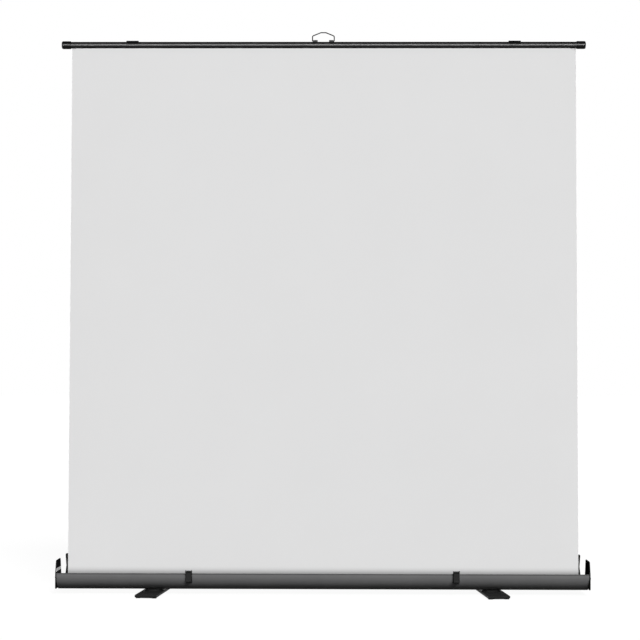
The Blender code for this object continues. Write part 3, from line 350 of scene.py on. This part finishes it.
def cloth_material(name, light, shade, roughness):
    """Coated screen cloth: a plain weave under a matte coat, with faint clouds and grit in its tone."""
    material, tree, shader = new_tree(name)
    shader.inputs["Specular IOR Level"].default_value = CLOTH_SPECULAR
    shader.inputs["Sheen Weight"].default_value = SHEEN
    shader.inputs["Sheen Roughness"].default_value = SHEEN_ROUGHNESS
    weave = plain_weave(tree)
    cloud = noise(tree, even(CLOTH_CLOUD_GRAIN), CLOTH_CLOUD_DETAIL)
    grit = noise(tree, even(GRIT_GRAIN), GRIT_DETAIL)
    clouds = math_node(tree, "MULTIPLY", cloud, 1.0 - GRIT_SHARE)
    specks = math_node(tree, "MULTIPLY", grit, GRIT_SHARE)
    tone = map_range(tree, math_node(tree, "ADD", clouds, specks), CLOTH_TONE_RANGE, WHOLE)
    tree.links.new(mix_colour(tree, tone, shade, light), shader.inputs["Base Color"])
    tree.links.new(map_range(tree, weave, WHOLE, roughness), shader.inputs["Roughness"])
    relief = bump(tree, math_node(tree, "ADD", weave, grit), CLOTH_BUMP, CLOTH_RELIEF)
    tree.links.new(relief.outputs["Normal"], shader.inputs["Normal"])
    return material


def paint_over(material, share, colour):
    """Mix a colour into the base colour that a material already has."""
    tree = material.node_tree
    base = tree.nodes["Principled BSDF"].inputs["Base Color"]
    tree.links.new(mix_colour(tree, share, base.links[0].from_socket, colour), base)


def paint_band(material):
    """A level pale band on the face that looks to the right."""
    tree = material.node_tree
    height = one_axis(tree, "ShaderNodeTexCoord", "Object", "Z")
    facing = one_axis(tree, "ShaderNodeNewGeometry", "Normal", "X")
    low, high = BAND_HEIGHTS
    above = math_node(tree, "GREATER_THAN", height, low)
    below = math_node(tree, "LESS_THAN", height, high)
    inner = math_node(tree, "GREATER_THAN", facing, BAND_FACING)
    share = math_node(tree, "MULTIPLY", math_node(tree, "MULTIPLY", above, below), inner)
    paint_over(material, share, BAND_COLOUR)


def paint_lip_shade(material):
    """Painted shade: a dark line along the top edge of the box."""
    tree = material.node_tree
    height = one_axis(tree, "ShaderNodeTexCoord", "Object", "Z")
    start = lip_height - LIP_SHADE_HEIGHT - LIP_SHADE_SOFT
    share = map_range(tree, height, (start, start + LIP_SHADE_SOFT), (0.0, LIP_SHADE_SHARE))
    paint_over(material, share, LIP_SHADE_COLOUR)


def paint_foot_shade(material):
    """Painted shade: grey that grows down to the lip of the box, and stays so below it."""
    tree = material.node_tree
    height = one_axis(tree, "ShaderNodeTexCoord", "Object", "Z")
    depth = map_range(tree, height, (lip_height, lip_height + FOOT_SHADE_REACH), (1.0, 0.0))
    share = math_node(tree, "MULTIPLY", math_node(tree, "POWER", depth, FOOT_SHADE_POWER), FOOT_SHADE_SHARE)
    paint_over(material, share, FOOT_SHADE_COLOUR)


def dress_nodes():
    """Give every CAD node that stays in sight its look."""
    slots = {row["node"]: row["material_slot"] for row in frame["record"]["subparts"]}
    made = {name: rigid_material(name, look) for name, look in LOOKS.items()}
    paint_band(made["banded_end_plate"])
    # painted shade: a dark line along the top edge of the box
    paint_lip_shade(made["box_anodised"])
    for name, piece in frame["nodes"].items():
        look = NODE_LOOKS.get(name, slots[name])
        if look in made:
            piece.data.materials.clear()
            piece.data.materials.append(made[look])
    for name in SHADOWLESS_NODES:
        frame["nodes"][name].visible_shadow = False


# Cloth
def add_object(name, data):
    made = bpy.data.objects.new(name, data)
    bpy.context.scene.collection.objects.link(made)
    return made


def link_mesh(name, mesh, *materials):
    bmesh.ops.recalc_face_normals(mesh, faces=mesh.faces)
    data = bpy.data.meshes.new(name)
    mesh.to_mesh(data)
    mesh.free()
    data.shade_smooth()
    data.set_sharp_from_angle(angle=math.radians(SHARP_EDGE_DEG))
    for material in materials:
        data.materials.append(material)
    return add_object(name, data)


def find_joint(name):
    return next(joint for joint in frame["joints"] if joint["name"] == name)


def cloth_bow(across, up):
    """How far the cloth stands out of its plane: a slow wave, and edges that curl back a little."""
    slack = math.sin(math.pi * up)
    wave = CLOTH_WAVE * math.sin(WAVE_ACROSS * across + WAVE_SLANT * up) * math.cos(WAVE_UP * up)
    return slack * (wave + CLOTH_CURL * abs(across) ** CLOTH_CURL_POWER)


def cloth_grid(mesh, plane, low, high):
    """Rows of points on one side of the cloth, from the bottom up."""
    middle = (low.x + high.x) / 2 + CLOTH_DRIFT
    grid = []
    for row in range(CLOTH_ROWS + 1):
        up = row / CLOTH_ROWS
        z = low.z + up * (high.z - low.z)
        line = []
        for column in range(CLOTH_COLUMNS + 1):
            across = 2 * column / CLOTH_COLUMNS - 1
            x = middle + across * (1 - CLOTH_TAPER * up) * (high.x - low.x) / 2
            line.append(mesh.verts.new((x, plane + cloth_bow(across, up), z)))
        grid.append(line)
    return grid


def grid_rim(grid):
    """The points round the edge of a grid, in order."""
    right = [line[-1] for line in grid]
    left = [line[0] for line in reversed(grid)]
    return grid[0] + right[1:-1] + list(reversed(grid[-1])) + left[1:-1]


def make_sheet(front_material, back_material):
    """The cloth in sight, fixed to the base."""
    low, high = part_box("screen_fabric")
    mesh = bmesh.new()
    grids = [cloth_grid(mesh, plane, low, high) for plane in (low.y, high.y)]
    for side, grid in enumerate(grids):
        for below, above in zip(grid, grid[1:]):
            for k in range(CLOTH_COLUMNS):
                face = mesh.faces.new((below[k], below[k + 1], above[k + 1], above[k]))
                face.material_index = side
    front, back = (grid_rim(grid) for grid in grids)
    for k in range(len(front)):
        mesh.faces.new((front[k - 1], front[k], back[k], back[k - 1]))
    sheet = link_mesh("screen_sheet", mesh, front_material, back_material)
    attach(sheet, "base")
    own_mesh(sheet)
    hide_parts("screen_fabric")


def wound_rows(mesh, ends, centre, outer, step, thickness):
    """Rows of four points along the wound cloth: left and right on its outer face, then on its inner face."""
    rows = []
    for k in range(ROLL_TURNS * ROLL_POINTS + 1):
        turn = 2 * math.pi * k / ROLL_POINTS
        reach = outer - step * k / ROLL_POINTS
        row = []
        for radius in (reach, reach - thickness):
            y = centre[0] - radius * math.cos(turn)
            z = centre[1] - radius * math.sin(turn)
            row += [mesh.verts.new((x, y, z)) for x in ends]
        rows.append(row)
    return rows


def make_roll(front_material, back_material):
    """The spare turns of cloth on the roller, wound in from the tangent point on the front."""
    low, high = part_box("screen_roll")
    sheet_low, sheet_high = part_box("screen_fabric")
    _, axis_y, axis_z = find_joint("roller_spin")["pos_m"]
    thickness = sheet_high.y - sheet_low.y
    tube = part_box("roller_tube")[1].z - axis_z
    outer = axis_y - low.y
    step = (outer - tube - thickness) / ROLL_TURNS * ROLL_FILL
    mesh = bmesh.new()
    rows = wound_rows(mesh, (low.x, high.x), (axis_y, axis_z), outer, step, thickness)
    for first, second in zip(rows, rows[1:]):
        for (a, b), side in ROLL_FACES:
            face = mesh.faces.new((first[a], first[b], second[b], second[a]))
            face.material_index = side
    for row in (rows[0], rows[-1]):
        mesh.faces.new((row[0], row[1], row[3], row[2]))
    roll = link_mesh("screen_winding", mesh, front_material, back_material)
    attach(roll, "roller")
    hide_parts("screen_roll")


# Stage
def make_camera():
    pitch, yaw, roll = (math.radians(a) for a in (CAMERA_PITCH_DEG, CAMERA_YAW_DEG, CAMERA_ROLL_DEG))
    forward = Vector((math.sin(yaw) * math.cos(pitch), math.cos(yaw) * math.cos(pitch), math.sin(pitch)))
    right = forward.cross(Vector((0.0, 0.0, 1.0))).normalized()
    up = right.cross(forward)
    across = right * math.cos(roll) + up * math.sin(roll)
    above = up * math.cos(roll) - right * math.sin(roll)
    data = bpy.data.cameras.new("camera")
    data.lens = CAMERA_LENS_MM
    data.sensor_width = CAMERA_SENSOR_MM
    data.clip_end = CAMERA_REACH
    camera = add_object("camera", data)
    turned = Matrix((across, above, -forward)).transposed().to_4x4()
    camera.matrix_world = Matrix.Translation(CAMERA_PLACE) @ turned
    bpy.context.scene.camera = camera


def make_suns():
    for name, setting in SUNS.items():
        turn = math.radians(setting["turn"])
        lift = math.radians(setting["lift"])
        source = Vector((math.sin(turn) * math.cos(lift), -math.cos(turn) * math.cos(lift), math.sin(lift)))
        data = bpy.data.lights.new(name, "SUN")
        data.energy = setting["strength"]
        data.angle = math.radians(setting["softness"])
        sun = add_object(name, data)
        sun.visible_glossy = setting["in_gloss"]
        sun.rotation_mode = "QUATERNION"
        sun.rotation_quaternion = (-source).to_track_quat("-Z", "Y")


def make_strip():
    data = bpy.data.lights.new("strip", "AREA")
    data.shape = "RECTANGLE"
    data.size, data.size_y = STRIP_SIZE
    data.energy = STRIP_POWER
    strip = add_object("strip", data)
    strip.location = STRIP_PLACE
    strip.rotation_euler = (math.pi / 2, 0.0, 0.0)      # faces the back
    strip.visible_camera = False
    strip.visible_diffuse = False


def make_world():
    world = bpy.data.worlds.new("studio")
    world.use_nodes = True
    bpy.context.scene.world = world
    tree = world.node_tree
    level = map_range(tree, shown_rays(tree), WHOLE, (AMBIENT, BACKGROUND))
    tree.links.new(level, tree.nodes["Background"].inputs["Strength"])
    tree.nodes["Background"].inputs["Color"].default_value = WHITE


def make_floor():
    mesh = bmesh.new()
    corners = [(x * FLOOR_HALF, y * FLOOR_HALF, 0.0) for x, y in ((-1, -1), (1, -1), (1, 1), (-1, 1))]
    mesh.faces.new([mesh.verts.new(corner) for corner in corners])
    material, tree, shader = new_tree("pale_floor")
    shader.inputs["Base Color"].default_value = (*grey(FLOOR_PALE), 1.0)
    shader.inputs["Roughness"].default_value = 1.0
    shader.inputs["Specular IOR Level"].default_value = 0.0
    shader.inputs["Emission Color"].default_value = WHITE
    glow = map_range(tree, shown_rays(tree), WHOLE, (0.0, FLOOR_GLOW))
    tree.links.new(glow, shader.inputs["Emission Strength"])
    link_mesh("floor", mesh, material)


def main():
    bpy.context.scene.view_settings.view_transform = "Standard"
    make_camera()
    make_suns()
    make_strip()
    make_world()
    make_floor()
    dress_nodes()
    cloth_front = cloth_material("screen_front", CLOTH_LIGHT, CLOTH_SHADE, CLOTH_ROUGHNESS)
    # painted shade at the foot of the cloth, down to the lip of the box
    paint_foot_shade(cloth_front)
    cloth_wound = cloth_material("screen_wound", CLOTH_LIGHT, CLOTH_SHADE, CLOTH_ROUGHNESS)
    cloth_back = cloth_material("screen_backing", BACKING_LIGHT, BACKING_SHADE, BACKING_ROUGHNESS)
    make_sheet(cloth_front, cloth_back)
    make_roll(cloth_wound, cloth_back)


main()
